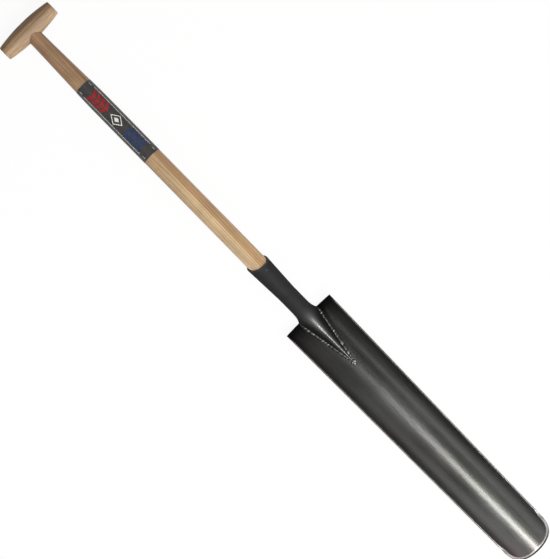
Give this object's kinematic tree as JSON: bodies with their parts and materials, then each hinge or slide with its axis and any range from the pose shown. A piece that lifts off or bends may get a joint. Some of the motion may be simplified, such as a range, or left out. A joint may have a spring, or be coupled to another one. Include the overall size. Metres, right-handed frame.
{
  "type": "trenching spade",
  "caption": "Long, narrow trenching spade with a hollow round-tipped steel blade, a slanted riveted socket with a welded ridged tongue, and a round wooden shaft with a barrel T-grip.",
  "frame": {"origin": "on the surface that the spade lies on, under the middle of its length and width", "axes": "+X along the tool to the tip of the blade, +Y across it along the grip, +Z out of the hollow of the blade"},
  "size_m": [1.3358, 0.12, 0.0424],
  "materials": {
    "grip_wood": "turned hardwood under thin clear lacquer",
    "shaft_wood": "turned ash under thin clear lacquer",
    "wedge_wood": "sawn hardwood",
    "label_film": "satin printed film",
    "staple_wire": "bright zinc-plated wire",
    "socket_steel": "dark clear-lacquered forged steel",
    "rivet_steel": "flush, lacquered with the socket",
    "blade_steel": "dark hardened sheet, lengthways sheen",
    "weld_steel": "rippled weld under lacquer"
  },
  "bodies": {
    "root": {"t_grip": "grip_wood", "shaft": "shaft_wood", "tenon_wedge": "wedge_wood", "label_plate": "label_film", "label_staples": "staple_wire", "socket": "socket_steel", "socket_rivet": "rivet_steel", "blade": "blade_steel", "weld_left": "weld_steel", "weld_right": "weld_steel", "weld_toe": "weld_steel", "weld_back": "weld_steel"}
  },
  "joints": []
}
